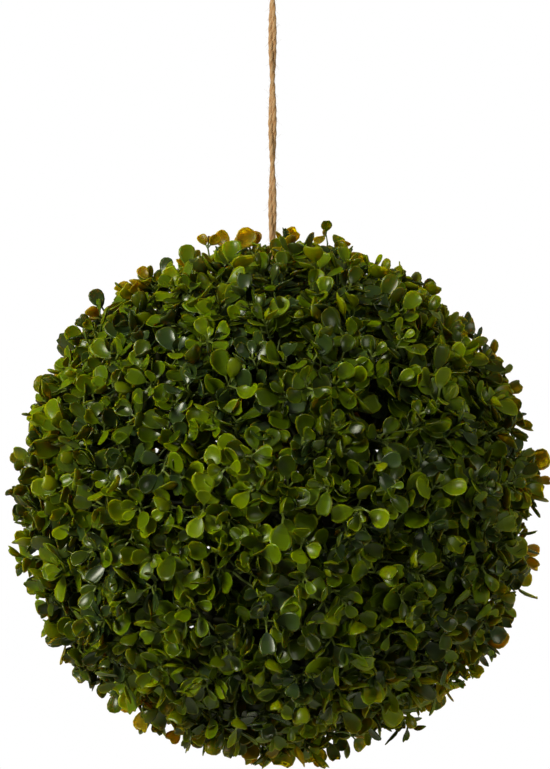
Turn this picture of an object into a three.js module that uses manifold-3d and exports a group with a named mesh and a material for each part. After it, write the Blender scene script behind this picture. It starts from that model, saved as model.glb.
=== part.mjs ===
// Hanging box topiary ball: mats of plastic box foliage on a two-part lattice ball,
// hung on a doubled jute twine that is twisted up from a staple at the crown to an eye.
// Millimetres, +Z up. The origin is where a hook bears, under the top of the eye.
import * as THREE from 'three';
import { mergeVertices } from 'three/addons/utils/BufferGeometryUtils.js';
import Module from 'manifold-3d';

// Ball
const BALL_RADIUS = 140; // over the furthest leaf tips
const HOOK_TO_CENTRE = 290; // from the hook down to the middle of the ball
const GAP = 0.3; // left between pieces that touch

// Lattice frame
const FRAME_RADIUS = 106;
const RIB_WIDTH = 4.4;
const RIB_DEPTH = 2.6;
const WINDOW_CORNER = 0.13; // share of a window's side that each cut corner takes
const BOSS_RADIUS = 5.5;
const CROWN_BOSS_RADIUS = 8;
const BOSS_TOP = FRAME_RADIUS + 1.9;
const BOSS_HEIGHT = 4.2;
const CROWN_BOSS_HEIGHT = 5.6;
const BOSS_SIDES = 6;
const TONGUE = { width: 10, thickness: 1.6, reach: 4, clearance: 1 };

// Foliage mats
const MAT_INNER_RADIUS = FRAME_RADIUS + 3;
const MAT_RINGS = 5;
const MAT_SEAM = 0.5;
const MAT_RELIEF = 7; // from the furthest tips down to the deepest hollow of the clipped face
const MAT_FULLNESS = 0.7; // share of the relief that the foliage reaches on average
const MAT_JITTER = 1.5;
const CROWN_HOLE_RADIUS = 8;

// Staple, knot and twine
const STAPLE_RADIUS = 4.5;
const STAPLE_WIRE_RADIUS = 1.4;
const STAPLE_LEG = 2;
const STAPLE_STEPS = 10;
const KNOT_RADIUS = 4.3;
const KNOT_HEIGHT = 9.4;
const STRAND_RADIUS = 1.15;
const STRAND_OFFSET = STRAND_RADIUS + GAP / 2; // from the pair's axis to each strand
const PAIR_PITCH = 88;
const EYE_NECK_Z = -30;
const EYE_HALF_WIDTH = 7;
const LEG_STEPS = 20;
const EYE_STEPS = 22;

const wasm = await Module();
wasm.setup();

// A closed three.js geometry as a solid, with only its shared positions kept.
function toSolid(geometry) {
  const bare = geometry.clone();
  bare.deleteAttribute('normal');
  bare.deleteAttribute('uv');
  const merged = mergeVertices(bare);
  return new wasm.Manifold(
    new wasm.Mesh({
      numProp: 3,
      vertProperties: new Float32Array(merged.attributes.position.array),
      triVerts: new Uint32Array(merged.index.array),
    }),
  );
}

function toGeometry(solid) {
  const mesh = solid.getMesh();
  const geometry = new THREE.BufferGeometry();
  geometry.setAttribute('position', new THREE.BufferAttribute(mesh.vertProperties, mesh.numProp));
  geometry.setIndex(new THREE.BufferAttribute(mesh.triVerts, 1));
  return geometry;
}

// The triangles of a geodesic ball whose top and bottom are icosahedron corners. Each
// triangle is three unit vectors, and each edge of the icosahedron is cut into detail + 1.
function geodesicFaces(detail) {
  const geometry = new THREE.IcosahedronGeometry(1, detail);
  geometry.rotateX(Math.atan(2 / (1 + Math.sqrt(5))));
  const position = geometry.attributes.position;
  const faces = [];
  for (let i = 0; i < position.count; i += 3) {
    faces.push([0, 1, 2].map((k) => new THREE.Vector3().fromBufferAttribute(position, i + k)));
  }
  return faces;
}

function uniqueDirections(faces) {
  const found = [];
  for (const direction of faces.flat()) {
    if (!found.some((other) => other.distanceTo(direction) < 1e-3)) found.push(direction);
  }
  return found;
}

function isOnEquator(direction) {
  return Math.abs(direction.z) < 1e-3;
}

function closedGeometry(positions) {
  const geometry = new THREE.BufferGeometry();
  geometry.setAttribute('position', new THREE.Float32BufferAttribute(positions, 3));
  return mergeVertices(geometry);
}

function addTriangle(positions, a, b, c) {
  positions.push(...a.toArray(), ...b.toArray(), ...c.toArray());
}

function addQuad(positions, a, b, c, d) {
  addTriangle(positions, a, b, c);
  addTriangle(positions, a, c, d);
}

// The window in one face of the lattice: the face's triangle drawn in by half a rib,
// with its three corners cut off, as six points that go round the same way.
function windowIn(corners) {
  const sides = corners.map((corner, i) => corner.distanceTo(corners[(i + 1) % 3]));
  const perimeter = sides[0] + sides[1] + sides[2];
  const area = new THREE.Triangle(...corners).getArea();
  const incentre = new THREE.Vector3();
  corners.forEach((corner, i) => incentre.addScaledVector(corner, sides[(i + 1) % 3] / perimeter));
  const shrink = 1 - RIB_WIDTH / 2 / ((2 * area) / perimeter);
  const inset = corners.map((corner) => incentre.clone().lerp(corner, shrink));
  return inset.flatMap((corner, i) => {
    const next = inset[(i + 1) % 3];
    return [corner.clone().lerp(next, WINDOW_CORNER), corner.clone().lerp(next, 1 - WINDOW_CORNER)];
  });
}

// One half of the lattice ball, open at the equator. Side is +1 above it and -1 below.
function latticeHalf(side) {
  const positions = [];
  const toInside = (point) => point.clone().multiplyScalar(1 - RIB_DEPTH / FRAME_RADIUS);
  for (const face of geodesicFaces(1)) {
    if ((face[0].z + face[1].z + face[2].z) * side < 0) continue;
    const outer = face.map((direction) => {
      const corner = direction.clone().multiplyScalar(FRAME_RADIUS);
      if (isOnEquator(direction)) corner.z = (side * GAP) / 2;
      return corner;
    });
    const rim = windowIn(outer);
    for (let i = 0; i < 3; i++) {
      const next = (i + 1) % 3;
      const strip = [outer[i], outer[next], rim[2 * i + 1], rim[2 * i]];
      const corner = [outer[i], rim[2 * i], rim[(2 * i + 5) % 6]];
      addQuad(positions, ...strip);
      addQuad(positions, ...strip.map(toInside).reverse());
      addTriangle(positions, ...corner);
      addTriangle(positions, ...corner.map(toInside).reverse());
      if (isOnEquator(face[i]) && isOnEquator(face[next])) {
        const edge = [outer[next], outer[i]];
        addQuad(positions, ...edge, ...edge.map(toInside).reverse());
      }
    }
    rim.forEach((point, i) => {
      const next = rim[(i + 1) % 6];
      addQuad(positions, point, next, toInside(next), toInside(point));
    });
  }
  return toSolid(closedGeometry(positions));
}

// A boss that a sprig of foliage is pressed onto, standing on the lattice along a direction.
function boss(direction) {
  const isCrown = direction.z > 0.999;
  const radius = isCrown ? CROWN_BOSS_RADIUS : BOSS_RADIUS;
  const height = isCrown ? CROWN_BOSS_HEIGHT : BOSS_HEIGHT;
  const geometry = new THREE.CylinderGeometry(radius, radius, height, BOSS_SIDES);
  geometry.translate(0, BOSS_TOP - height / 2, 0);
  const turn = new THREE.Quaternion().setFromUnitVectors(new THREE.Vector3(0, 1, 0), direction);
  geometry.applyQuaternion(turn);
  return toSolid(geometry);
}

// A tongue on the lower half that reaches up inside the upper half's rim, at the middle of
// an equator rib. Its foot is bedded in the lower rim.
function tongue(azimuth, ribMiddleRadius) {
  const innerFace = ribMiddleRadius - RIB_DEPTH * Math.cos(Math.PI / 10);
  const outside = innerFace - TONGUE.clearance;
  const blade = new THREE.BoxGeometry(TONGUE.thickness, TONGUE.width, 2 * TONGUE.reach);
  blade.translate(outside - TONGUE.thickness / 2, 0, 0);
  const footDepth = TONGUE.clearance + TONGUE.thickness + RIB_DEPTH / 2;
  const foot = new THREE.BoxGeometry(footDepth, TONGUE.width, 1);
  foot.translate(innerFace + RIB_DEPTH / 2 - footDepth / 2, 0, -RIB_WIDTH / 4 - GAP);
  const solid = toSolid(blade).add(toSolid(foot));
  return solid.rotate([0, 0, THREE.MathUtils.radToDeg(azimuth)]);
}

function frameHalf(side) {
  let solid = latticeHalf(side);
  for (const direction of uniqueDirections(geodesicFaces(1))) {
    if (direction.z * side > 0 && !isOnEquator(direction)) solid = solid.add(boss(direction));
  }
  if (side < 0) {
    const ribMiddleRadius = FRAME_RADIUS * Math.cos(Math.PI / 10);
    for (const corner of uniqueDirections(geodesicFaces(0))) {
      const isUpperRing = corner.z > 0 && corner.z < 0.9;
      if (isUpperRing) solid = solid.add(tongue(Math.atan2(corner.y, corner.x), ribMiddleRadius));
    }
  }
  return toGeometry(solid);
}

// How far the clipped face of the foliage reaches in a direction: a slow unevenness made of
// three crossed waves, the same for neighbouring mats.
function clippedRadius(direction) {
  const { x, y, z } = direction;
  const first = Math.sin(5.2 * x + 0.9) * Math.cos(4.1 * y - 0.4);
  const second = Math.sin(6.7 * y + 2.1) * Math.cos(5.9 * z + 0.3);
  const third = Math.sin(8.3 * z - 1.2) * Math.cos(7.4 * x + 1.7);
  const height = MAT_FULLNESS + (first + second + third) / 4;
  return BALL_RADIUS - MAT_RELIEF * (1 - THREE.MathUtils.clamp(height, 0, 1));
}

// Repeatable random numbers from 0 to 1.
function randomSource(seed) {
  let state = seed;
  return () => {
    state = (state * 1664525 + 1013904223) % 4294967296;
    return state / 4294967296;
  };
}

// One mat of foliage: the five-sided part of the ball's shell round one icosahedron corner,
// as a fan of rings. Ring i has 5 i points, and the walls to its neighbours are radial.
function matGeometry(centre, seed) {
  const random = randomSource(seed);
  const around = geodesicFaces(0)
    .filter((face) => face.some((corner) => corner.distanceTo(centre) < 1e-3))
    .map((face) => face[0].clone().add(face[1]).add(face[2]).normalize());
  const east = around[0].clone().cross(centre).normalize();
  const north = centre.clone().cross(east);
  around.sort((a, b) => Math.atan2(a.dot(north), a.dot(east)) - Math.atan2(b.dot(north), b.dot(east)));
  const pull = MAT_SEAM / 2 / MAT_INNER_RADIUS / Math.cos(Math.PI / 5);
  const corners = around.map((corner) => {
    const inward = centre.clone().addScaledVector(corner, -centre.dot(corner)).normalize();
    return corner.clone().addScaledVector(inward, pull).normalize();
  });

  const directions = [centre.clone()];
  for (let ring = 1; ring <= MAT_RINGS; ring++) {
    for (let step = 0; step < 5 * ring; step++) {
      const sector = Math.floor(step / ring);
      const side = corners[sector].clone().lerp(corners[(sector + 1) % 5], (step % ring) / ring);
      directions.push(centre.clone().lerp(side, ring / MAT_RINGS).normalize());
    }
  }
  const at = (ring, step) => (ring === 0 ? 0 : 1 + (5 * ring * (ring - 1)) / 2 + (step % (5 * ring)));
  const outer = directions.map((direction) => {
    const reach = clippedRadius(direction) + MAT_JITTER * (2 * random() - 1);
    return direction.clone().multiplyScalar(Math.min(reach, BALL_RADIUS));
  });
  const inner = directions.map((direction) => direction.clone().multiplyScalar(MAT_INNER_RADIUS));

  const positions = [];
  const addBoth = (a, b, c) => {
    addTriangle(positions, outer[a], outer[b], outer[c]);
    addTriangle(positions, inner[c], inner[b], inner[a]);
  };
  for (let ring = 1; ring <= MAT_RINGS; ring++) {
    for (let sector = 0; sector < 5; sector++) {
      for (let step = 0; step < ring; step++) {
        const here = at(ring, sector * ring + step);
        const next = at(ring, sector * ring + step + 1);
        const below = at(ring - 1, sector * (ring - 1) + step);
        addBoth(below, here, next);
        if (step < ring - 1) addBoth(below, next, at(ring - 1, sector * (ring - 1) + step + 1));
      }
    }
  }
  for (let step = 0; step < 5 * MAT_RINGS; step++) {
    const here = at(MAT_RINGS, step);
    const next = at(MAT_RINGS, step + 1);
    addQuad(positions, inner[here], inner[next], outer[next], outer[here]);
  }
  return closedGeometry(positions);
}

// The crown mat, with a hole down its middle for the twine and the staple.
function crownMatGeometry(centre, seed) {
  const drill = new THREE.CylinderGeometry(CROWN_HOLE_RADIUS, CROWN_HOLE_RADIUS, BALL_RADIUS, 16);
  drill.rotateX(Math.PI / 2);
  drill.translate(0, 0, BALL_RADIUS);
  return toGeometry(toSolid(matGeometry(centre, seed)).subtract(toSolid(drill)));
}

// A round bar along a curve, with flat ends.
function bar(curve, radius, steps) {
  const section = new THREE.Shape(new THREE.EllipseCurve(0, 0, radius, radius).getPoints(8).slice(0, 8));
  return new THREE.ExtrudeGeometry(section, { steps, extrudePath: curve });
}

// The staple on the crown boss: two short legs joined by a half circle.
class StapleCurve extends THREE.Curve {
  getPoint(t, target = new THREE.Vector3()) {
    const arch = Math.PI * STAPLE_RADIUS;
    const along = t * (arch + 2 * STAPLE_LEG) - STAPLE_LEG;
    const angle = THREE.MathUtils.clamp(along / STAPLE_RADIUS, 0, Math.PI);
    const belowArch = Math.max(-along, along - arch, 0);
    const x = -STAPLE_RADIUS * Math.cos(angle);
    return target.set(x, 0, STAPLE_RADIUS * Math.sin(angle) - belowArch);
  }
}

// One of the twine's two strands, which wind round each other like the strokes of an S.
// They lie one behind the other at the eye's neck.
class StrandCurve extends THREE.Curve {
  constructor(side, low, high) {
    super();
    this.side = side;
    this.low = low;
    this.high = high;
  }

  getPoint(t, target = new THREE.Vector3()) {
    const z = THREE.MathUtils.lerp(this.low, this.high, t);
    const angle = Math.PI / 2 - (2 * Math.PI * (z - EYE_NECK_Z)) / PAIR_PITCH;
    const offset = this.side * STRAND_OFFSET;
    return target.set(offset * Math.cos(angle), offset * Math.sin(angle), z);
  }
}

// The eye: a drop that leaves the neck upright on one strand and comes back on the other.
class EyeCurve extends THREE.Curve {
  getPoint(t, target = new THREE.Vector3()) {
    const half = Math.PI * t;
    const neck = EYE_NECK_Z + GAP;
    const rise = STRAND_RADIUS - neck;
    const widest = 2 * Math.sin(Math.PI / 3) ** 3 * Math.cos(Math.PI / 3);
    const x = (EYE_HALF_WIDTH / widest) * 2 * Math.sin(half) ** 3 * Math.cos(half);
    return target.set(x, STRAND_OFFSET * Math.cos(half), neck + rise * Math.sin(half) ** 2);
  }
}

const STAPLE_ARCH_Z = BOSS_TOP + GAP + STAPLE_LEG;
const KNOT_Z = STAPLE_ARCH_Z + STAPLE_RADIUS + GAP;

function stapleGeometry(wireRadius) {
  return bar(new StapleCurve(), wireRadius, STAPLE_STEPS).translate(0, 0, STAPLE_ARCH_Z);
}

// The knot on the staple: a lump of twine with a way through it for the staple's wire.
function knotGeometry() {
  const lump = new THREE.SphereGeometry(KNOT_RADIUS, 10, 7);
  lump.rotateX(Math.PI / 2);
  lump.scale(1, 1, KNOT_HEIGHT / 2 / KNOT_RADIUS);
  lump.translate(0, 0, KNOT_Z);
  return toGeometry(toSolid(lump).subtract(toSolid(stapleGeometry(STAPLE_WIRE_RADIUS + GAP))));
}

const FOLIAGE = new THREE.MeshStandardMaterial({ color: 0x3f5210, roughness: 0.42, metalness: 0 });
const FRAME = new THREE.MeshStandardMaterial({ color: 0x1d2410, roughness: 0.55, metalness: 0 });
const TWINE = new THREE.MeshStandardMaterial({ color: 0xaa8663, roughness: 0.9, metalness: 0 });

function addMesh(parent, name, geometry, material) {
  const mesh = new THREE.Mesh(geometry, material.clone());
  mesh.name = name;
  parent.add(mesh);
}

const group = new THREE.Group();
const ball = new THREE.Group();
ball.position.z = -HOOK_TO_CENTRE;
group.add(ball);

addMesh(ball, 'frame_upper', frameHalf(1), FRAME);
addMesh(ball, 'frame_lower', frameHalf(-1), FRAME);

const matCentres = uniqueDirections(geodesicFaces(0));
const azimuthOf = (direction) => (Math.atan2(direction.y, direction.x) + 2 * Math.PI) % (2 * Math.PI);
const ringOf = (isInRing) => matCentres.filter(isInRing).sort((a, b) => azimuthOf(a) - azimuthOf(b));
const upperRing = ringOf((direction) => direction.z > 0 && direction.z < 0.9);
const lowerRing = ringOf((direction) => direction.z < 0 && direction.z > -0.9);
addMesh(ball, 'mat_crown', crownMatGeometry(new THREE.Vector3(0, 0, 1), 11), FOLIAGE);
upperRing.forEach((centre, i) => addMesh(ball, `mat_upper_${i + 1}`, matGeometry(centre, 20 + i), FOLIAGE));
lowerRing.forEach((centre, i) => addMesh(ball, `mat_lower_${i + 1}`, matGeometry(centre, 30 + i), FOLIAGE));
addMesh(ball, 'mat_base', matGeometry(new THREE.Vector3(0, 0, -1), 41), FOLIAGE);

addMesh(ball, 'hanger_staple', stapleGeometry(STAPLE_WIRE_RADIUS), FRAME);
addMesh(ball, 'twine_knot', knotGeometry(), TWINE);

const legFoot = KNOT_Z + KNOT_HEIGHT / 2 + GAP - HOOK_TO_CENTRE;
const legGeometry = (side) => bar(new StrandCurve(side, legFoot, EYE_NECK_Z), STRAND_RADIUS, LEG_STEPS);
addMesh(group, 'twine_leg_back', legGeometry(1), TWINE);
addMesh(group, 'twine_leg_front', legGeometry(-1), TWINE);
addMesh(group, 'twine_eye', bar(new EyeCurve(), STRAND_RADIUS, EYE_STEPS), TWINE);

export default group;
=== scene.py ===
import bpy
import numpy as np
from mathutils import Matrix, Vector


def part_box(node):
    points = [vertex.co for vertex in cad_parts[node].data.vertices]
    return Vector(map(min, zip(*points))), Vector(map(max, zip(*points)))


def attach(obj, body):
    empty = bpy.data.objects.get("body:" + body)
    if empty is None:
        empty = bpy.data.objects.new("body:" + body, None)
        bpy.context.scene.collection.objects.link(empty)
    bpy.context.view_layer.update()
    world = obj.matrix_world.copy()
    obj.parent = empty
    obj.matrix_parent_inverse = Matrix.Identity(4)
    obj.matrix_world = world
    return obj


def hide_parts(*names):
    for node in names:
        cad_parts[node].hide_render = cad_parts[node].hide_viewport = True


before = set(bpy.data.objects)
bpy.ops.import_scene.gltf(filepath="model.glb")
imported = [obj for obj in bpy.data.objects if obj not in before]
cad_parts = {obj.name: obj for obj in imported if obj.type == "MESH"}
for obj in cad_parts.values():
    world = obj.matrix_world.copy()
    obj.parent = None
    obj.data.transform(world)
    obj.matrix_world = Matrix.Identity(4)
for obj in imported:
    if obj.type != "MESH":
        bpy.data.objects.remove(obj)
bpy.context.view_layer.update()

# ---------------------------------------------------------------------------
# The lattice ball. Two moulded halves of dark green plastic, closed at the
# equator, with a boss at every crossing. The CAD halves stay as they are and
# only take the moulded finish.
# ---------------------------------------------------------------------------

crown_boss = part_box("frame_upper")[1].z
foot_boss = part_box("frame_lower")[0].z
BALL_CENTRE = np.array([0.0, 0.0, (crown_boss + foot_boss) / 2])
LATTICE_RADIUS = (crown_boss - foot_boss) / 2


def linear(red, green, blue):
    """An sRGB colour from 0 to 255 as linear RGBA: a small share over 12.92, and a larger
    one plus 0.055, over 1.055, to the power 2.4."""
    share = np.array([red, green, blue]) / 255
    low = share / 12.92
    high = ((share + 0.055) / 1.055) ** 2.4
    return (*np.where(share < 0.04045, low, high).tolist(), 1.0)


def new_material(name):
    """A new material, its node tree and its shader."""
    material = bpy.data.materials.new(name)
    material.use_nodes = True
    return material, material.node_tree, material.node_tree.nodes["Principled BSDF"]


GRAIN_RELIEF = 0.0004


def mould_grain_group():
    """Fine moulded grain: Scale and Depth in, a 0 to 1 noise Mask and a bumped Normal out."""
    group = bpy.data.node_groups.new("mould_grain", "ShaderNodeTree")
    group.interface.new_socket("Scale", in_out="INPUT", socket_type="NodeSocketFloat")
    group.interface.new_socket("Depth", in_out="INPUT", socket_type="NodeSocketFloat")
    group.interface.new_socket("Mask", in_out="OUTPUT", socket_type="NodeSocketFloat")
    group.interface.new_socket("Normal", in_out="OUTPUT", socket_type="NodeSocketVector")
    nodes, links = group.nodes, group.links
    given = nodes.new("NodeGroupInput")
    made = nodes.new("NodeGroupOutput")
    place = nodes.new("ShaderNodeTexCoord")
    noise = nodes.new("ShaderNodeTexNoise")
    bump = nodes.new("ShaderNodeBump")
    noise.inputs["Detail"].default_value = 4
    bump.inputs["Distance"].default_value = GRAIN_RELIEF
    links.new(place.outputs["Object"], noise.inputs["Vector"])
    links.new(given.outputs["Scale"], noise.inputs["Scale"])
    links.new(noise.outputs["Fac"], bump.inputs["Height"])
    links.new(given.outputs["Depth"], bump.inputs["Strength"])
    links.new(noise.outputs["Fac"], made.inputs["Mask"])
    links.new(bump.outputs["Normal"], made.inputs["Normal"])
    return group


MOULD_GRAIN = mould_grain_group()


def moulded_plastic(name, dark, light, scale, roughness):
    """Moulded plastic: a base colour that wanders between two tones with a fine grain."""
    material, tree, shader = new_material(name)
    grain = tree.nodes.new("ShaderNodeGroup")
    grain.node_tree = MOULD_GRAIN
    grain.inputs["Scale"].default_value = scale
    grain.inputs["Depth"].default_value = 0.35
    ramp = tree.nodes.new("ShaderNodeValToRGB")
    ramp.color_ramp.elements[0].position = 0.35
    ramp.color_ramp.elements[0].color = dark
    ramp.color_ramp.elements[1].position = 0.65
    ramp.color_ramp.elements[1].color = light
    tree.links.new(grain.outputs["Mask"], ramp.inputs["Fac"])
    tree.links.new(ramp.outputs["Color"], shader.inputs["Base Color"])
    tree.links.new(grain.outputs["Normal"], shader.inputs["Normal"])
    shader.inputs["Roughness"].default_value = roughness
    return material


lattice_plastic = moulded_plastic("lattice_plastic", dark=linear(16, 20, 9), light=linear(28, 34, 15),
                                  scale=260, roughness=0.55)
for half in ("frame_upper", "frame_lower"):
    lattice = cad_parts[half]
    lattice.data.materials.clear()
    lattice.data.materials.append(lattice_plastic)

# ---------------------------------------------------------------------------
# The staple. A moulded bow of the same plastic on the crown boss, that the
# twine is tied to. Two short legs joined by a half circle of round wire.
# ---------------------------------------------------------------------------


def unit(vectors):
    """Each vector over its own length."""
    return vectors / np.maximum(np.linalg.norm(vectors, axis=-1, keepdims=True), 1e-12)


def build(name, points, faces, materials, face_material=None):
    """A smooth mesh piece that rides on the root body, from points and lists of faces."""
    mesh = bpy.data.meshes.new(name)
    mesh.from_pydata(points.reshape(-1, 3), [], faces)
    for material in materials:
        mesh.materials.append(material)
    if face_material is not None:
        mesh.polygons.foreach_set("material_index", np.asarray(face_material, np.int32))
    mesh.polygons.foreach_set("use_smooth", np.ones(len(mesh.polygons), bool))
    mesh.update()
    piece = bpy.data.objects.new(name, mesh)
    bpy.context.scene.collection.objects.link(piece)
    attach(piece, "root")
    return piece


def tube_rings(path, across, radius, sides):
    """Rings round a path. A ring's points are path + radius (cos a U + sin a V), with V the
    unit cross product of the path's direction and across, and U that of V and the direction."""
    along = unit(np.gradient(path, axis=-2))
    v = unit(np.cross(along, across))
    u = np.cross(v, along)
    angle = np.linspace(0, 2 * np.pi, sides, endpoint=False)
    spread = np.cos(angle)[:, None] * u[..., None, :] + np.sin(angle)[:, None] * v[..., None, :]
    return path[..., None, :] + np.asarray(radius)[..., None] * spread


def tube_faces(rings, sides):
    """Quads along a tube of rings, with a flat cap at both ends, facing out."""
    ring, side = np.meshgrid(np.arange(rings - 1), np.arange(sides), indexing="ij")
    after = (side + 1) % sides
    quads = np.stack([ring * sides + side, ring * sides + after,
                      (ring + 1) * sides + after, (ring + 1) * sides + side], -1).reshape(-1, 4)
    first_cap = np.arange(sides)[::-1]
    last_cap = (rings - 1) * sides + np.arange(sides)
    return quads, [first_cap, last_cap]


staple_low, staple_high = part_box("hanger_staple")
STAPLE_WIRE = (staple_high.y - staple_low.y) / 2
STAPLE_BEND = (staple_high.x - staple_low.x) / 2 - STAPLE_WIRE
STAPLE_BEND_Z = staple_high.z - STAPLE_WIRE - STAPLE_BEND
STAPLE_LEG = STAPLE_BEND_Z - staple_low.z
STAPLE_RINGS = 40
STAPLE_SIDES = 16

# The bow's path: up one leg, round the half circle and down the other leg.
along = np.linspace(-STAPLE_LEG, np.pi * STAPLE_BEND + STAPLE_LEG, STAPLE_RINGS)
turn = np.clip(along / STAPLE_BEND, 0, np.pi)
below = np.maximum(np.maximum(-along, along - np.pi * STAPLE_BEND), 0)
staple_path = np.stack([-STAPLE_BEND * np.cos(turn), np.zeros(STAPLE_RINGS),
                        STAPLE_BEND_Z + STAPLE_BEND * np.sin(turn) - below], -1)
staple_points = tube_rings(staple_path, np.array([0.0, 1.0, 0.0]),
                           np.full((STAPLE_RINGS, 1), STAPLE_WIRE), STAPLE_SIDES)
quads, caps = tube_faces(STAPLE_RINGS, STAPLE_SIDES)
staple_plastic = moulded_plastic("staple_plastic", dark=linear(20, 26, 11), light=linear(34, 42, 18),
                                 scale=420, roughness=0.5)
staple = build("staple", staple_points, quads.tolist() + [cap.tolist() for cap in caps], [staple_plastic])
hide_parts("hanger_staple")

# ---------------------------------------------------------------------------
# The sprigs' twigs. Each mat is a net of thin bars with a cap pressed on every
# boss, and from each cap a fan of thin moulded twigs grows out and bends over.
# The twigs end under the clipped face, and every mat is one piece.
# ---------------------------------------------------------------------------

MAT_FOOT = LATTICE_RADIUS + 0.0008
CAP_RADIUS = 0.0045
NET_BAR = 0.0016
TWIG_RADIUS = 0.00052
TWIG_COUNT = 900
INNER_TWIG_COUNT = 720
ACROSS_BARS = np.array([0.37, 0.21, 0.905])
random = np.random.default_rng(5)


def icosahedron():
    """The 12 corners of an icosahedron that stands on one, in the order of the mats."""
    ring = np.radians(72 * np.arange(5))
    flat, lift = 2 / np.sqrt(5), 1 / np.sqrt(5)
    upper = ring + np.radians(54)
    lower = ring + np.radians(18)
    return np.concatenate([
        [[0, 0, 1]],
        np.stack([flat * np.cos(upper), flat * np.sin(upper), np.full(5, lift)], -1),
        np.stack([flat * np.cos(lower), flat * np.sin(lower), np.full(5, -lift)], -1),
        [[0, 0, -1]],
    ])


MAT_NAMES = ["crown", *(f"upper_{i}" for i in range(1, 6)), *(f"lower_{i}" for i in range(1, 6)), "base"]
MAT_CENTRES = icosahedron()


def mat_of(directions):
    """The number of the mat whose middle is nearest to each direction."""
    return np.argmax(directions @ MAT_CENTRES.T, axis=-1)


def geodesic_points(frequency):
    """The corners of an icosahedron with each edge cut into frequency parts, pushed out to
    the unit sphere: every whole-number mix of a face's corners, each place kept once."""
    gap = np.linalg.norm(MAT_CENTRES[:, None] - MAT_CENTRES[None], axis=-1)
    near = (gap > 0.1) & (gap < 1.2)
    triples = [(a, b, c) for a in range(12) for b in range(a + 1, 12) for c in range(b + 1, 12)
               if near[a, b] and near[b, c] and near[a, c]]
    mixes = np.array([(i, j, frequency - i - j) for i in range(frequency + 1)
                      for j in range(frequency + 1 - i)])
    points = unit((mixes @ MAT_CENTRES[np.array(triples)]).reshape(-1, 3))
    _, first = np.unique(np.round(points, 5), axis=0, return_index=True)
    return points[np.sort(first)]


def spread_points(count, jitter):
    """Points spread evenly on the unit sphere along a golden spiral, each then moved a
    random way by up to about jitter."""
    step = np.arange(count) + 0.5
    height = 1 - 2 * step / count
    angle = np.pi * (1 + np.sqrt(5)) * step
    flat = np.sqrt(1 - height**2)
    points = np.stack([flat * np.cos(angle), flat * np.sin(angle), height], -1)
    return unit(points + random.normal(0, jitter, points.shape))


CLIPPED_RADIUS = 0.1379
UNEVENNESS = 0.0014
LOPSIDED_BY = 0.002
DIMPLE_DEPTH = 0.008
DIMPLE_WIDTH = 0.12


def clipped_radius(direction):
    """How far the leaf tips reach: the ball's radius, a slow unevenness of three crossed
    sine waves, a little more on the +X side, and a dimple where the twine comes out."""
    x, y, z = np.moveaxis(direction, -1, 0)
    waves = (np.sin(7.1 * x + 0.9) * np.cos(6.3 * y - 0.4)
             + np.sin(9.2 * y + 2.1) * np.cos(8.4 * z + 0.3)
             + np.sin(11.3 * z - 1.2) * np.cos(10.1 * x + 1.7))
    dimple = np.where(z > 0, DIMPLE_DEPTH * np.exp(-(x**2 + y**2) / DIMPLE_WIDTH**2), 0)
    return CLIPPED_RADIUS + UNEVENNESS * waves + LOPSIDED_BY * x - dimple


def bezier(p0, p1, p2, p3, t):
    """A cubic curve's points and directions at t: the four points weighted by the cubic
    Bernstein terms, and the curve's slope."""
    t = t[..., None]
    s = 1 - t
    points = s**3 * p0 + 3 * s * s * t * p1 + 3 * s * t * t * p2 + t**3 * p3
    slope = s * s * (p1 - p0) + 2 * s * t * (p2 - p1) + t * t * (p3 - p2)
    return points, unit(slope)


def lying_across(vectors, axis):
    """The part of each vector that lies across the axis, as a unit vector."""
    return unit(vectors - np.sum(vectors * axis, -1, keepdims=True) * axis)


pegs = geodesic_points(4)

# Every twig's end: which way it lies from the middle of the ball, and which way it points.
outer_ends = spread_points(TWIG_COUNT, 0.038)
inner_ends = spread_points(INNER_TWIG_COUNT, 0.05)

# A few sprigs stand up singly round the twine, at these directions across X and Y.
CROWN_STRAYS = np.array([
    [-0.25, 0.0], [-0.16, 0.03], [-0.085, 0.04], [0.025, 0.13], [0.13, 0.02], [0.2, -0.02]])
crown_way = np.column_stack([CROWN_STRAYS, np.sqrt(1 - np.sum(CROWN_STRAYS**2, axis=1))])
crown_twig = np.argmax(outer_ends @ crown_way.T, axis=0)
outer_ends[crown_twig] = crown_way
end_direction = np.concatenate([outer_ends, inner_ends])
twig_count = len(end_direction)
is_inner = np.arange(twig_count) >= TWIG_COUNT
twig_peg = pegs[np.argmax(end_direction @ pegs.T, axis=-1)]
away = end_direction - twig_peg + random.normal(0, 0.12, end_direction.shape)
sideways = lying_across(away, end_direction)
lean = np.radians(np.where(is_inner, random.uniform(20, 80, twig_count),
                           random.uniform(4, 68, twig_count)))
twig_point = np.cos(lean)[:, None] * end_direction + np.sin(lean)[:, None] * sideways

# Leaves on each twig: pairs from the end down, each pair crosswise to the one above.
PAIRS = 5
PLACE_ON_TWIG = np.array([1.02, 0.98, 0.86, 0.7, 0.52])
PAIR_SPREAD = np.radians([28, 46, 62, 70, 76])
PAIR_SIZE = np.array([0.5, 0.86, 1.02, 1.05, 1.0])
PAIR_SHARE = np.array([0.3, 1.0, 1.0, 0.85, 0.35])
LEAF_LENGTH = 0.0163
LEAF_HALF_WIDTH = 0.0051

shape = (twig_count, PAIRS, 2)
opens_level = random.uniform(0, 1, twig_count) < 0.5
first_azimuth = np.where(opens_level, random.normal(0, 0.35, twig_count),
                         random.uniform(0, 2 * np.pi, twig_count))
leaf_azimuth = (first_azimuth[:, None, None]
                + (np.pi / 2) * np.arange(PAIRS)[None, :, None]
                + np.pi * np.arange(2)[None, None, :]
                + random.normal(0, 0.22, shape))
leaf_spread = PAIR_SPREAD[None, :, None] + random.normal(0, np.radians(9), shape)
leaf_size = PAIR_SIZE[None, :, None] * random.uniform(0.66, 1.12, shape)
leaf_size *= random.uniform(0.9, 1.08, (twig_count, 1, 1))

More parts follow.
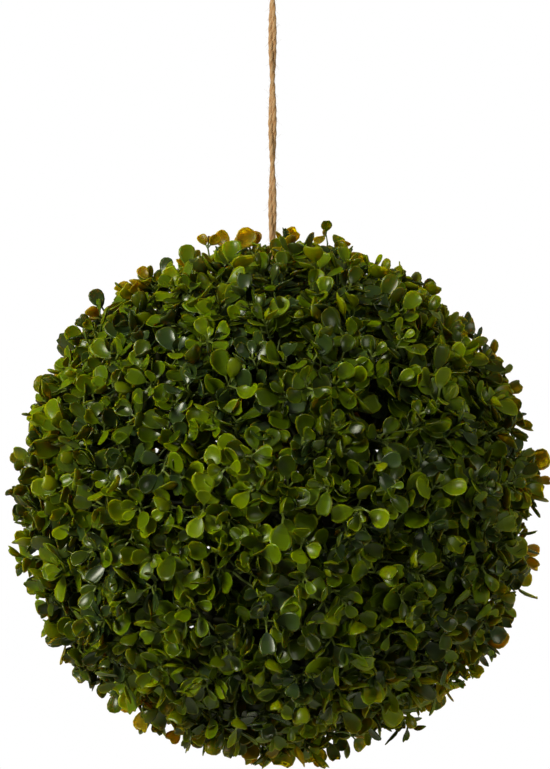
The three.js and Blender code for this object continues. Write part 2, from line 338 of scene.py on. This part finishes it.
across_u = lying_across(np.cross(twig_point, end_direction) + 1e-4, twig_point)
across_v = np.cross(twig_point, across_u)


def leaf_directions(along, u, v):
    """Which way each leaf points: cos spread along the twig and sin spread across it."""
    around = np.cos(leaf_azimuth)[..., None] * u + np.sin(leaf_azimuth)[..., None] * v
    pointing = np.cos(leaf_spread)[..., None] * along + np.sin(leaf_spread)[..., None] * around
    top_side = np.sin(leaf_spread)[..., None] * along - np.cos(leaf_spread)[..., None] * around
    return pointing, top_side


# The leaf that reaches furthest out sets how deep a twig's end lies, so that its tip comes
# to the clipped face. Stray twigs and those round the twine stand a little proud, inner
# ones stay well under the face, and the others hang back by uneven amounts.
LEAFY_RUN = 0.028
STRAY_SHARE = 0.16
CROWN_PROUD = 0.0065
HANGS_BACK = 0.0022

pointing, _ = leaf_directions(*(way[:, None, None] for way in (twig_point, across_u, across_v)))
back_from_end = (1 - PLACE_ON_TWIG)[None, :, None] * LEAFY_RUN * np.cos(lean)[:, None, None]
outward = np.sum(pointing * end_direction[:, None, None], -1)
furthest = (LEAF_LENGTH * leaf_size * outward - back_from_end).max(axis=(1, 2))
end_radius = clipped_radius(end_direction) - furthest + random.normal(0, 0.0015, twig_count)
stray = (random.uniform(0, 1, twig_count) < STRAY_SHARE) & ~is_inner
end_radius += np.where(stray, random.uniform(0.002, 0.005, twig_count), 0)
end_radius[crown_twig] = clipped_radius(crown_way) - furthest[crown_twig] + CROWN_PROUD
end_radius -= np.where(is_inner, random.uniform(0.010, 0.016, twig_count), 0)
keeps_depth = is_inner.copy()
keeps_depth[crown_twig] = True
end_radius -= np.where(keeps_depth, 0, random.exponential(HANGS_BACK, twig_count))

twig_foot = BALL_CENTRE + twig_peg * MAT_FOOT
twig_end = BALL_CENTRE + end_direction * end_radius[:, None]
reach = np.linalg.norm(twig_end - twig_foot, axis=-1, keepdims=True)
bend_low = twig_foot + unit(twig_peg + 0.9 * sideways) * 0.38 * reach
bend_high = twig_end - twig_point * 0.36 * reach

TWIG_RINGS = 6
TWIG_SIDES = 4
bends = [point[:, None] for point in (twig_foot, bend_low, bend_high, twig_end)]
twig_path, _ = bezier(*bends, np.linspace(0, 1, TWIG_RINGS)[None, :])
twig_taper = TWIG_RADIUS * np.linspace(1.35, 0.8, TWIG_RINGS)
twig_rings = tube_rings(twig_path, ACROSS_BARS, twig_taper[None, :, None], TWIG_SIDES)
twig_quads, twig_caps = tube_faces(TWIG_RINGS, TWIG_SIDES)


def polar_frame(directions):
    """Two unit vectors across each direction."""
    u = lying_across(np.cross(directions, np.array([0.13, 0.41, 0.9])), directions)
    return u, np.cross(directions, u)


def repeat_faces(faces, count, points_each):
    """The same faces for each copy of a small mesh, as one array."""
    return (faces[None] + points_each * np.arange(count)[:, None, None]).reshape(-1, faces.shape[1])


# The caps on the pegs: low eight-sided buttons with a raised middle.
CAP_SIDES = 8
cap_u, cap_v = polar_frame(pegs)
cap_profile = [(1.0, -0.0009), (1.0, 0.0006), (0.7, 0.0014), (0.3, 0.0016)]
cap_angle = np.linspace(0, 2 * np.pi, CAP_SIDES, endpoint=False)
cap_rings = np.stack([
    BALL_CENTRE + (pegs * (MAT_FOOT + lift))[:, None]
    + CAP_RADIUS * share * (np.cos(cap_angle)[None, :, None] * cap_u[:, None]
                            + np.sin(cap_angle)[None, :, None] * cap_v[:, None])
    for share, lift in cap_profile], 1)
cap_quads, cap_ends = tube_faces(len(cap_profile), CAP_SIDES)

# The net: a bar from each peg to each of its neighbours.
BAR_RINGS = 3
BAR_SIDES = 4
NEIGHBOUR = np.radians(25)
bar_a, bar_b = np.nonzero(np.triu(pegs @ pegs.T > np.cos(NEIGHBOUR), 1))
bar_t = np.linspace(0, 1, BAR_RINGS)[None, :, None]
bar_way = unit(pegs[bar_a][:, None] * (1 - bar_t) + pegs[bar_b][:, None] * bar_t)
bar_path = BALL_CENTRE + MAT_FOOT * bar_way
bar_rings = tube_rings(bar_path, ACROSS_BARS, np.full((1, BAR_RINGS, 1), NET_BAR), BAR_SIDES)
bar_quads, bar_caps = tube_faces(BAR_RINGS, BAR_SIDES)


def plain_finish(name, colour, roughness, subsurface, specular=0.36):
    """Dyed plastic of one plain colour. Light that enters comes out a little further on,
    reddest furthest, so that thin edges glow warm against the light."""
    material, _, shader = new_material(name)
    shader.inputs["Base Color"].default_value = linear(*colour)
    shader.inputs["Roughness"].default_value = roughness
    shader.inputs["Specular IOR Level"].default_value = specular
    shader.inputs["Subsurface Weight"].default_value = subsurface
    shader.inputs["Subsurface Radius"].default_value = (0.8, 0.5, 0.06)
    shader.inputs["Subsurface Scale"].default_value = 0.0013
    return material


twig_finish = plain_finish("twig_plastic", (92, 106, 46), roughness=0.5, subsurface=0.0)
net_finish = plain_finish("net_plastic", (38, 40, 15), roughness=0.6, subsurface=0.0)

twig_mat = mat_of(end_direction)
peg_mat = mat_of(pegs)
bar_mat = mat_of(unit(bar_path[:, 1] - BALL_CENTRE))
for number, mat in enumerate(MAT_NAMES):
    points, faces, finish = [], [], []
    start = 0
    for rings, quads, ends, chosen, slot in (
        (twig_rings, twig_quads, twig_caps, twig_mat == number, 0),
        (cap_rings, cap_quads, cap_ends, peg_mat == number, 1),
        (bar_rings, bar_quads, bar_caps, bar_mat == number, 1),
    ):
        kept = rings[chosen].reshape(chosen.sum(), -1, 3)
        for group in (quads, np.array(ends)):
            made = repeat_faces(group, len(kept), kept.shape[1]) + start
            faces += made.tolist()
            finish += [slot] * len(made)
        points.append(kept.reshape(-1, 3))
        start += kept.shape[0] * kept.shape[1]
    twigs = build(f"twigs_{mat}", np.concatenate(points), faces, [twig_finish, net_finish], finish)

# ---------------------------------------------------------------------------
# The leaves. Small spoon-shaped box leaves of moulded plastic, dyed in several
# greens, paler round the rim and darker at the foot, partly dye and partly painted
# light and shade. They stand in crosswise pairs on the twigs and turn their top
# sides outwards.
# ---------------------------------------------------------------------------

# A leaf's stations along its length, from the foot of the stalk to near the tip, and the
# eight places round its section: five across the top side and three back under it.
STALK = 0.27
ALONG_BLADE = np.array([0.0, 0.13, 0.35, 0.6, 0.81, 0.945])
STATION = np.concatenate([[0.0], STALK + (1 - STALK) * ALONG_BLADE])
ACROSS = np.array([-1.0, -0.72, 0.0, 0.72, 1.0, 0.86, 0.0, -0.86])
IS_UNDER = np.arange(8) > 4
STALK_HALF_WIDTH = 0.0004


def half_width(t):
    """A spoon's half width, from 0 to about 1 of the widest: with s the share of the blade
    passed, s to the 0.85 times the root of 1 minus s, over 0.412, about its greatest."""
    s = np.clip((t - STALK) / (1 - STALK), 0, 1)
    return s**0.85 * np.sqrt(1 - s) / 0.4120


# Where each pair sits on its twig, and which way each leaf's top side faces.
below_end = np.arange(PAIRS) > 0
leaf_t = PLACE_ON_TWIG[None, :] + random.normal(0, 0.02, (twig_count, PAIRS)) * below_end
leaf_foot, twig_along = bezier(*bends, leaf_t)
leaf_u = lying_across(np.cross(twig_along, end_direction[:, None]) + 1e-4, twig_along)
leaf_v = np.cross(twig_along, leaf_u)
pointing, top_side = leaf_directions(*(way[:, :, None] for way in (twig_along, leaf_u, leaf_v)))
out_of_ball = unit(leaf_foot - BALL_CENTRE)[:, :, None]
facing = lying_across(top_side + random.uniform(0.8, 2.4, shape)[..., None] * out_of_ball
                      + random.normal(0, 0.22, (*shape, 3)), pointing)
crown_facing = np.array([0.1, -1.0, 0.2]) + random.normal(0, 0.35, (len(crown_twig), PAIRS, 2, 3))
facing[crown_twig] = lying_across(crown_facing, pointing[crown_twig])

# Not every pair grows. Stray twigs are often bare lower down, and those round the twine
# have only their two topmost pairs.
fullness = PAIR_SHARE[None, :, None] * np.where(is_inner, 0.8, 1)[:, None, None]
grows = random.uniform(0, 1, shape) < fullness
bare = stray[:, None] & (random.uniform(0, 1, (twig_count, PAIRS)) < 0.5) & (np.arange(PAIRS) > 2)
grows &= ~bare[:, :, None]
grows[crown_twig, 2:] = False
keep = grows.reshape(-1)
leaf_count = int(keep.sum())


def per_leaf(values):
    """One row for each leaf that grows."""
    return np.broadcast_to(values, (*shape, *values.shape[3:])).reshape(-1, *values.shape[3:])[keep]


# Each leaf's own measures: the blade's cup and curl, and how deep its tip is notched.
LEAF_THICKNESS = 0.00034
GROOVE_DEPTH = 0.00006
NOTCHED_SHARE = 0.35
NOTCH_DEPTH = 0.05

foot = per_leaf(leaf_foot[:, :, None])
forward = per_leaf(pointing)
up = per_leaf(facing)
side = np.cross(up, forward)
size = per_leaf(leaf_size)
length = LEAF_LENGTH * size * random.uniform(0.92, 1.08, leaf_count)
widest = LEAF_HALF_WIDTH * size * random.uniform(0.88, 1.08, leaf_count)
cup = random.uniform(0.15, 0.55, leaf_count)
curl = random.normal(0.0, 0.15, leaf_count)
notch = np.where(random.uniform(0, 1, leaf_count) < NOTCHED_SHARE, NOTCH_DEPTH, 0.0)


def curled_up(t):
    """How far each leaf is lifted by its curl at t, a share of its length: the curl times
    the length, times 1.8 times the square of how far t is past the first quarter."""
    return (curl * length)[:, None] * np.clip(t - 0.25, 0, 1) ** 2 * 1.8


# A leaf's points in its own frame: forward, sideways and up. The cup lifts the blade by the
# square of the place across it, and sinks it as a parabola along it.
stations = len(STATION)
places = len(ACROSS)
share = half_width(STATION)
half = np.maximum(STALK_HALF_WIDTH + (widest[:, None] - STALK_HALF_WIDTH) * share, STALK_HALF_WIDTH)
passed = np.clip((STATION - STALK) / (1 - STALK), 0, 1)
sunk = 0.8 * (cup * widest)[:, None] * (1 - (2 * passed - 1) ** 2) * (passed > 0)
lift = cup[:, None, None] * half[:, :, None] * share[None, :, None] * ACROSS**2
groove = np.where(ACROSS == 0, GROOVE_DEPTH, 0)[None, None, :] * share[None, :, None]
under_by = LEAF_THICKNESS * np.where(passed == 0, 2.4, 1.0)[:, None] * IS_UNDER

rings = np.stack(np.broadcast_arrays(
    (length[:, None] * STATION)[:, :, None],
    half[:, :, None] * ACROSS,
    (curled_up(STATION) - sunk)[:, :, None] + lift - groove - under_by), -1)
rings[:, -1, ACROSS == 0, 0] -= (notch * length)[:, None]
local = np.zeros((leaf_count, stations * places + 1, 3))
local[:, :-1] = rings.reshape(leaf_count, -1, 3)
local[:, -1, 0] = length * (1 - 1.8 * notch)
local[:, -1, 2] = curled_up(np.ones(1))[:, 0]
leaf_points = (foot[:, None] + local[..., 0:1] * forward[:, None] + local[..., 1:2] * side[:, None]
               + local[..., 2:3] * up[:, None])

# The faces of one leaf: strips between the stations, a fan at the tip and a foot.
station, around = np.meshgrid(np.arange(stations - 1), np.arange(places), indexing="ij")
after = (around + 1) % places
leaf_quads = np.stack([station * places + around, (station + 1) * places + around,
                       (station + 1) * places + after, station * places + after], -1).reshape(-1, 4)
last_ring = (stations - 1) * places + np.arange(places)
leaf_tip = np.stack([last_ring, np.full(places, stations * places), np.roll(last_ring, -1)], -1)
leaf_end = np.arange(places)[None]

# Which tone each face takes. The tone pales in even steps from the foot of the blade to its
# tip and out to the rim, and deepens again on the thin edge: partly the leaf's two-tone dye,
# partly painted shade in the cupped foot and on the edge wall, and a painted light on the rim.
# The underside has one tone, and the stalk one for every leaf.
TONES = 5
UNDER = TONES
STALK_TONE = TONES + 1
on_rim = (around == 0) | (around == 3)
on_edge = (around == 4) | (around == 7)
# The steps from foot to tip are partly dye and partly painted cup shade. The extra step on the rim strips
# is partly dye and partly painted light. The step less on the edge wall is painted shade.
dye_and_shade = np.clip((station - 1) / 5 + 0.3 * on_rim - 0.3 * on_edge, 0, 1)
tone = np.where((around >= 4) & ~on_edge, UNDER, np.round(dye_and_shade * (TONES - 1)).astype(int))
tone = np.where(station == 0, STALK_TONE, tone).reshape(-1)
tip_tone = np.array([TONES - 1] * 4 + [UNDER] * 4)

# The leaf colours: for each dye, the foot of the blade, its rim and its underside. The foot's
# darkness is partly painted shade and the rim's paleness partly painted light. Then how rough
# and glossy each is, and how much light comes through it. Olive is the golden one: partly a
# faded tint, partly the glow of backlight through the leaves painted in.
DYES_AND_SHADE = {
    "bright": ((92, 111, 0), (132, 155, 0), (130, 142, 0)),
    "leaf": ((70, 90, 0), (110, 136, 0), (106, 121, 0)),
    "deep": ((47, 62, 5), (77, 98, 0), (75, 90, 0)),
    "slate": ((38, 55, 34), (64, 84, 26), (64, 78, 26)),
    "olive": ((98, 90, 0), (158, 142, 0), (150, 134, 0)),
}
ROUGHNESS = {"bright": 0.31, "leaf": 0.29, "deep": 0.27, "slate": 0.26, "olive": 0.34}
GLOSS = {"bright": 0.28, "leaf": 0.31, "deep": 0.36, "slate": 0.43, "olive": 0.28}
GLOW = {"bright": 0.62, "leaf": 0.6, "deep": 0.48, "slate": 0.32, "olive": 0.85}
leaf_finishes = []
for kind, (foot_colour, rim_colour, under_colour) in DYES_AND_SHADE.items():
    steps = np.linspace(0, 1, TONES)[:, None]
    tones = ((1 - steps) * foot_colour + steps * rim_colour).tolist() + [under_colour]
    finish_of_kind = ROUGHNESS[kind], GLOW[kind], GLOSS[kind]
    leaf_finishes += [plain_finish(f"leaf_{kind}_{k}", colour, *finish_of_kind)
                      for k, colour in enumerate(tones)]
leaf_finishes.append(plain_finish("leaf_stalk", (112, 128, 50), roughness=0.45, subsurface=0.0))

# Each twig has its own dye, and its lower pairs are often one step darker. The sprigs round
# the twine, and many of the strays in a belt across the ball's sides where the front view's
# outline falls, take the golden olive tone: partly a faded tint, partly the glow of backlight
# through them painted in.
OLIVE = list(DYES_AND_SHADE).index("olive")
ONE_STEP_DARKER = np.array([1, 2, 2, 3, 1])
FADED_AND_GLOW_BELT = 0.3
FADED_AND_GLOW_SHARE = 0.6
ODD_SHARE = 0.12

twig_dye = random.choice(len(DYES_AND_SHADE), twig_count, p=[0.28, 0.35, 0.19, 0.18, 0])
in_belt = np.abs(end_direction[:, 1]) < FADED_AND_GLOW_BELT
faded_and_glowing = stray & in_belt & (random.uniform(0, 1, twig_count) < FADED_AND_GLOW_SHARE)
# Painted backlight glow, partly a faded tint: these twigs take the golden olive tone.
twig_dye[faded_and_glowing] = OLIVE
twig_dye[crown_twig] = OLIVE
pair_number = per_leaf(np.broadcast_to(np.arange(PAIRS)[None, :, None], shape))
leaf_twig = per_leaf(np.broadcast_to(np.arange(twig_count)[:, None, None], shape))
dye = twig_dye[leaf_twig]
steps_down = random.uniform(0, 1, leaf_count) < 0.28 * pair_number
dye = np.where(steps_down, ONE_STEP_DARKER[dye], dye)
odd_one = random.uniform(0, 1, leaf_count) < ODD_SHARE
dye = np.where(odd_one, random.choice(len(DYES_AND_SHADE), leaf_count, p=[0.27, 0.31, 0.2, 0.22, 0]), dye)

# Leaves that would cross the twine are left off.
TWINE_ROOM = 0.0032
from_twine = np.linalg.norm(leaf_points[..., :2], axis=-1).min(axis=1)
clear = (from_twine > TWINE_ROOM) | (foot[:, 2] < BALL_CENTRE[2])

leaf_mat = twig_mat[leaf_twig]
leaf_parts = ((leaf_quads, tone), (leaf_tip, tip_tone), (leaf_end, np.array([STALK_TONE])))
for number, mat in enumerate(MAT_NAMES):
    chosen = (leaf_mat == number) & clear
    faces, finish = [], []
    for group, tones in leaf_parts:
        faces += repeat_faces(group, int(chosen.sum()), leaf_points.shape[1]).tolist()
        dyed = (TONES + 1) * dye[chosen][:, None] + tones[None]
        finish.append(np.where(tones[None] == STALK_TONE, len(leaf_finishes) - 1, dyed).reshape(-1))
    leaves = build(f"leaves_{mat}", leaf_points[chosen], faces, leaf_finishes, np.concatenate(finish))
    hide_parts(f"mat_{mat}")

# ---------------------------------------------------------------------------
# The twine. Natural jute of two plies laid up into one strand, doubled through
# the staple: both legs wind round each other up to the neck of an eye.
# ---------------------------------------------------------------------------

leg_low, leg_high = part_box("twine_leg_back")
STRAND_RADIUS = 0.00125
STRAND_OFFSET = 0.00098
PAIR_PITCH = 0.088
NECK_Z = leg_high.z
EYE_HALF_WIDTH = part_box("twine_eye")[1].x - STRAND_RADIUS
PLY_PITCH = 0.012
RING_GAP = 0.0004


def twine_path():
    """Up one leg's helix, round the drop-shaped eye and down the other leg. A leg's angle
    is a quarter turn less a whole turn for each pitch above the neck. The eye leaves the
    neck upright: with h from 0 to pi, it stands at sin cubed h times cos h across and sin
    squared h up. Its first and last few points crowd at the neck and are left out."""
    rise = np.linspace(leg_low.z, NECK_Z, 360)
    angle = np.pi / 2 - 2 * np.pi * (rise - NECK_Z) / PAIR_PITCH
    leg = np.stack([STRAND_OFFSET * np.cos(angle), STRAND_OFFSET * np.sin(angle), rise], -1)
    h = np.linspace(0, np.pi, 220)[8:-8]
    broadest = np.sin(np.pi / 3) ** 3 * np.cos(np.pi / 3)
    eye = np.stack([EYE_HALF_WIDTH / broadest * np.sin(h) ** 3 * np.cos(h),
                    STRAND_OFFSET * np.cos(h),
                    NECK_Z + (STRAND_RADIUS - NECK_Z) * np.sin(h) ** 2], -1)
    down = leg[::-1] * np.array([-1, -1, 1])
    route = np.concatenate([leg, eye, down])
    walked = np.concatenate([[0], np.cumsum(np.linalg.norm(np.diff(route, axis=0), axis=-1))])
    even = np.linspace(0, walked[-1], int(walked[-1] / RING_GAP))
    return np.stack([np.interp(even, walked, route[:, k]) for k in range(3)], -1), even


def two_ply_rings(path, even, sides, across):
    """Rings of a two-ply strand. A ply is a circle set off from the middle, and the outline
    in direction a is e |cos b| plus the root of r squared minus e squared sin squared b,
    with b the angle a less the plies' turn. The size wanders a little along the way."""
    ply = STRAND_RADIUS * 0.8
    offset = STRAND_RADIUS - ply
    angle = np.linspace(0, 2 * np.pi, sides, endpoint=False)[None, :]
    b = angle - 2 * np.pi * even[:, None] / PLY_PITCH
    outline = offset * np.abs(np.cos(b)) + np.sqrt(ply**2 - (offset * np.sin(b)) ** 2)
    wander = 1 + 0.05 * np.sin(even * 610 + 1.3) * np.sin(even * 233) + 0.03 * np.sin(even * 1490)
    radius = outline * wander[:, None]
    along = unit(np.gradient(path, axis=0))
    v = unit(np.cross(along, across))
    u = np.cross(v, along)
    spread = np.cos(angle)[..., None] * u[:, None] + np.sin(angle)[..., None] * v[:, None]
    return path[:, None] + radius[..., None] * spread, outline / STRAND_RADIUS, b


def jute(name):
    """Jute: pale straw and brown fibres streaked along the plies, with painted shade in the groove
    between them.
    """
    material, tree, shader = new_material(name)
    nodes, links = tree.nodes, tree.links
    place = nodes.new("ShaderNodeUVMap")
    place.uv_map = "fibre"
    streaks = nodes.new("ShaderNodeTexNoise")
    streaks.inputs["Scale"].default_value = 1.0
    streaks.inputs["Detail"].default_value = 6
    streaks.inputs["Roughness"].default_value = 0.65
    ramp = nodes.new("ShaderNodeValToRGB")
    ramp.color_ramp.elements[0].position = 0.3
    ramp.color_ramp.elements[0].color = linear(176, 126, 82)
    ramp.color_ramp.elements[1].position = 0.72
    ramp.color_ramp.elements[1].color = linear(232, 200, 168)
    middle = ramp.color_ramp.elements.new(0.5)
    middle.color = linear(211, 167, 125)
    # Painted shade: the base colour is multiplied darker where the plies meet in the groove.
    groove = nodes.new("ShaderNodeAttribute")
    groove.attribute_name = "groove"
    groove_shade = nodes.new("ShaderNodeMix")
    groove_shade.data_type = "RGBA"
    groove_shade.blend_type = "MULTIPLY"
    groove_shade.inputs["B"].default_value = linear(206, 170, 136)
    bump = nodes.new("ShaderNodeBump")
    bump.inputs["Strength"].default_value = 0.8
    bump.inputs["Distance"].default_value = 0.00012
    links.new(place.outputs["UV"], streaks.inputs["Vector"])
    links.new(streaks.outputs["Fac"], ramp.inputs["Fac"])
    links.new(ramp.outputs["Color"], groove_shade.inputs["A"])
    links.new(groove.outputs["Fac"], groove_shade.inputs["Factor"])
    links.new(groove_shade.outputs["Result"], shader.inputs["Base Color"])
    links.new(streaks.outputs["Fac"], bump.inputs["Height"])
    links.new(bump.outputs["Normal"], shader.inputs["Normal"])
    shader.inputs["Roughness"].default_value = 0.85
    return material


JUTE = jute("jute")


def strand(name, path, even, across, sides=20):
    """A strand of twine along a path, with the fibres' own UV map: round the plies and
    along the way, so that streaks follow the lay."""
    rings, outline, b = two_ply_rings(path, even, sides, across)
    quads, caps = tube_faces(len(path), sides)
    piece = build(name, rings, quads.tolist() + [cap.tolist() for cap in caps], [JUTE])
    mesh = piece.data
    # Mask for the painted shade: 1 deep in the groove between the plies, 0 on their crowns.
    groove = np.clip((0.92 - outline) / 0.2, 0, 1).reshape(-1).astype(np.float32)
    mesh.attributes.new("groove", "FLOAT", "POINT").data.foreach_set("value", groove)
    corner = np.zeros(len(mesh.loops), np.int32)
    mesh.loops.foreach_get("vertex_index", corner)
    ring, side = corner // sides, corner % sides
    place = np.stack([np.sin(b[ring, side]) * 5.0, even[ring] * 90], -1)
    mesh.uv_layers.new(name="fibre").data.foreach_set("uv", place.astype(np.float32).reshape(-1))
    return piece


path, even = twine_path()
twine = strand("twine", path, even, np.array([0.0, 1.0, 0.0]))
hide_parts("twine_leg_back", "twine_leg_front", "twine_eye")

# Loose fibres that stand off the twine, each a fine three-sided wisp that bends away.
HAIR_COUNT = 420
HAIR_RINGS = 5
HAIR_SIDES = 3
hair_at = random.integers(4, len(path) - 4, HAIR_COUNT)
hair_along = unit(np.gradient(path, axis=0))[hair_at]
hair_out = lying_across(random.normal(0, 1, (HAIR_COUNT, 3)), hair_along)
hair_length = random.uniform(0.0012, 0.0042, HAIR_COUNT)[:, None, None]
hair_way = unit(hair_along * random.choice([-1, 1], HAIR_COUNT)[:, None]
                + hair_out * random.uniform(0.15, 0.7, HAIR_COUNT)[:, None])
hair_t = np.linspace(0, 1, HAIR_RINGS)[None, :, None]
hair_path = (path[hair_at] + hair_out * STRAND_RADIUS * 0.9)[:, None] + hair_length * (
    hair_t * hair_way[:, None] + 0.35 * hair_t**2 * (hair_out[:, None] - 0.4 * hair_way[:, None]))
hair_taper = np.linspace(0.00005, 0.00002, HAIR_RINGS)
hair_rings = tube_rings(hair_path, np.array([0.31, 0.9, 0.22]), hair_taper[None, :, None], HAIR_SIDES)
hair_faces = []
for group in tube_faces(HAIR_RINGS, HAIR_SIDES):
    hair_faces += repeat_faces(np.array(group), HAIR_COUNT, HAIR_RINGS * HAIR_SIDES).tolist()
loose_fibre = plain_finish("loose_fibre", (206, 176, 138), roughness=0.8, subsurface=0.0)
fibres = build("twine_fibres", hair_rings, hair_faces, [loose_fibre])

# ---------------------------------------------------------------------------
# The knot. The twine is tied on the staple's bow with an overhand knot, drawn
# tight, and its two cut ends stand out sideways.
# ---------------------------------------------------------------------------

# The knot's path is a trefoil left open where its two ends come out: sin t plus twice
# sin 2t across, sin 3t deep, and cos t less twice cos 2t up.
KNOT_OPENING = 0.25
knot_low, knot_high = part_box("twine_knot")
knot_middle = np.array([0.0, 0.0, (knot_low.z + knot_high.z) / 2])
knot_scale = ((knot_high.x - knot_low.x) / 2 - STRAND_RADIUS) / 3
t = np.linspace(KNOT_OPENING, 2 * np.pi - KNOT_OPENING, 160)
knot_path = knot_middle + knot_scale * np.stack([np.sin(t) + 2 * np.sin(2 * t), np.sin(3 * t),
                                                 np.cos(t) - 2 * np.cos(2 * t)], -1)
walked = np.concatenate([[0], np.cumsum(np.linalg.norm(np.diff(knot_path, axis=0), axis=-1))])
knot = strand("knot", knot_path, walked, np.array([0.2, 0.9, 0.35]), 14)
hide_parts("twine_knot")

# ---------------------------------------------------------------------------
# The studio: a pale floor well below the ball, a soft key light from the upper
# left, a weaker fill from the right, and a surround that is seen as plain white
# and lights the ball with a warmer white, most of it from behind.
# ---------------------------------------------------------------------------

FLOOR_Z = -2.1
FLOOR_HALF = 2.6
FLOOR_LIFT = 0.45

# The floor glows a little where it is seen, and lights nothing with that.
floor_mesh = bpy.data.meshes.new("floor")
floor_corners = [(-FLOOR_HALF, -FLOOR_HALF, FLOOR_Z), (FLOOR_HALF, -FLOOR_HALF, FLOOR_Z),
                 (FLOOR_HALF, FLOOR_HALF, FLOOR_Z), (-FLOOR_HALF, FLOOR_HALF, FLOOR_Z)]
floor_mesh.from_pydata(floor_corners, [], [(0, 1, 2, 3)])
floor_material, floor_tree, floor_shader = new_material("pale_floor")
floor_shader.inputs["Base Color"].default_value = linear(236, 236, 234)
floor_shader.inputs["Roughness"].default_value = 0.9
floor_shader.inputs["Emission Color"].default_value = (0.92, 0.92, 1.0, 1.0)
floor_ray = floor_tree.nodes.new("ShaderNodeLightPath")
floor_lift = floor_tree.nodes.new("ShaderNodeMath")
floor_lift.operation = "MULTIPLY"
floor_lift.inputs[1].default_value = FLOOR_LIFT
floor_tree.links.new(floor_ray.outputs["Is Camera Ray"], floor_lift.inputs[0])
floor_tree.links.new(floor_lift.outputs["Value"], floor_shader.inputs["Emission Strength"])
floor_mesh.materials.append(floor_material)
floor = bpy.data.objects.new("floor", floor_mesh)
bpy.context.scene.collection.objects.link(floor)

# The surround's strength rises with the direction's Y, from dim in front to bright behind.
# It is low in mirror reflections, and plain white where it is seen.
world = bpy.data.worlds.new("studio")
bpy.context.scene.world = world
world.use_nodes = True
nodes, links = world.node_tree.nodes, world.node_tree.links
background = nodes["Background"]
way = nodes.new("ShaderNodeTexCoord")
parts = nodes.new("ShaderNodeSeparateXYZ")
behind = nodes.new("ShaderNodeMapRange")
behind.inputs["From Min"].default_value = 0.5
behind.inputs["From Max"].default_value = 0.85
behind.inputs["To Min"].default_value = 0.075
behind.inputs["To Max"].default_value = 2.8
ray = nodes.new("ShaderNodeLightPath")
mirrored = nodes.new("ShaderNodeMix")
mirrored.inputs["B"].default_value = 0.12
seen = nodes.new("ShaderNodeMix")
seen.inputs["B"].default_value = 1.0
links.new(way.outputs["Generated"], parts.inputs["Vector"])
links.new(parts.outputs["Y"], behind.inputs["Value"])
links.new(behind.outputs["Result"], mirrored.inputs["A"])
links.new(ray.outputs["Is Glossy Ray"], mirrored.inputs["Factor"])
links.new(mirrored.outputs["Result"], seen.inputs["A"])
links.new(ray.outputs["Is Camera Ray"], seen.inputs["Factor"])
links.new(seen.outputs["Result"], background.inputs["Strength"])
tint = nodes.new("ShaderNodeMix")
tint.data_type = "RGBA"
tint.inputs["A"].default_value = (1.0, 0.98, 0.72, 1.0)
tint.inputs["B"].default_value = (1.0, 1.0, 1.0, 1.0)
links.new(ray.outputs["Is Camera Ray"], tint.inputs["Factor"])
links.new(tint.outputs["Result"], background.inputs["Color"])


def softbox(name, place, size, power, colour):
    """A square area light that looks at the middle of the ball."""
    lamp = bpy.data.lights.new(name, "AREA")
    lamp.size = size
    lamp.energy = power
    lamp.color = colour
    holder = bpy.data.objects.new(name, lamp)
    bpy.context.scene.collection.objects.link(holder)
    holder.location = place
    aim = Vector(BALL_CENTRE) - Vector(place)
    holder.rotation_euler = aim.to_track_quat("-Z", "Y").to_euler()


softbox("key", (-1.02, -1.02, 0.38), size=0.48, power=19.6, colour=(1.0, 1.0, 0.8))
softbox("fill", (1.6, -1.0, 0.05), size=0.8, power=7.8, colour=(0.97, 1.0, 0.78))

bpy.context.scene.view_settings.view_transform = "Standard"

# The camera looks level at the ball from in front, and takes in its whole foliage and the
# lower part of the twine.
VIEW_DISTANCE = 1.4
VIEW_HEIGHT = 0.398
VIEW_RISE = 0.0587
VIEW_ASIDE = 0.0013
camera = bpy.data.cameras.new("camera")
camera.lens = camera.sensor_width * VIEW_DISTANCE / VIEW_HEIGHT
camera_holder = bpy.data.objects.new("camera", camera)
bpy.context.scene.collection.objects.link(camera_holder)
camera_holder.location = (VIEW_ASIDE, -VIEW_DISTANCE, BALL_CENTRE[2] + VIEW_RISE)
camera_holder.rotation_euler = (np.pi / 2, 0, 0)
bpy.context.scene.camera = camera_holder
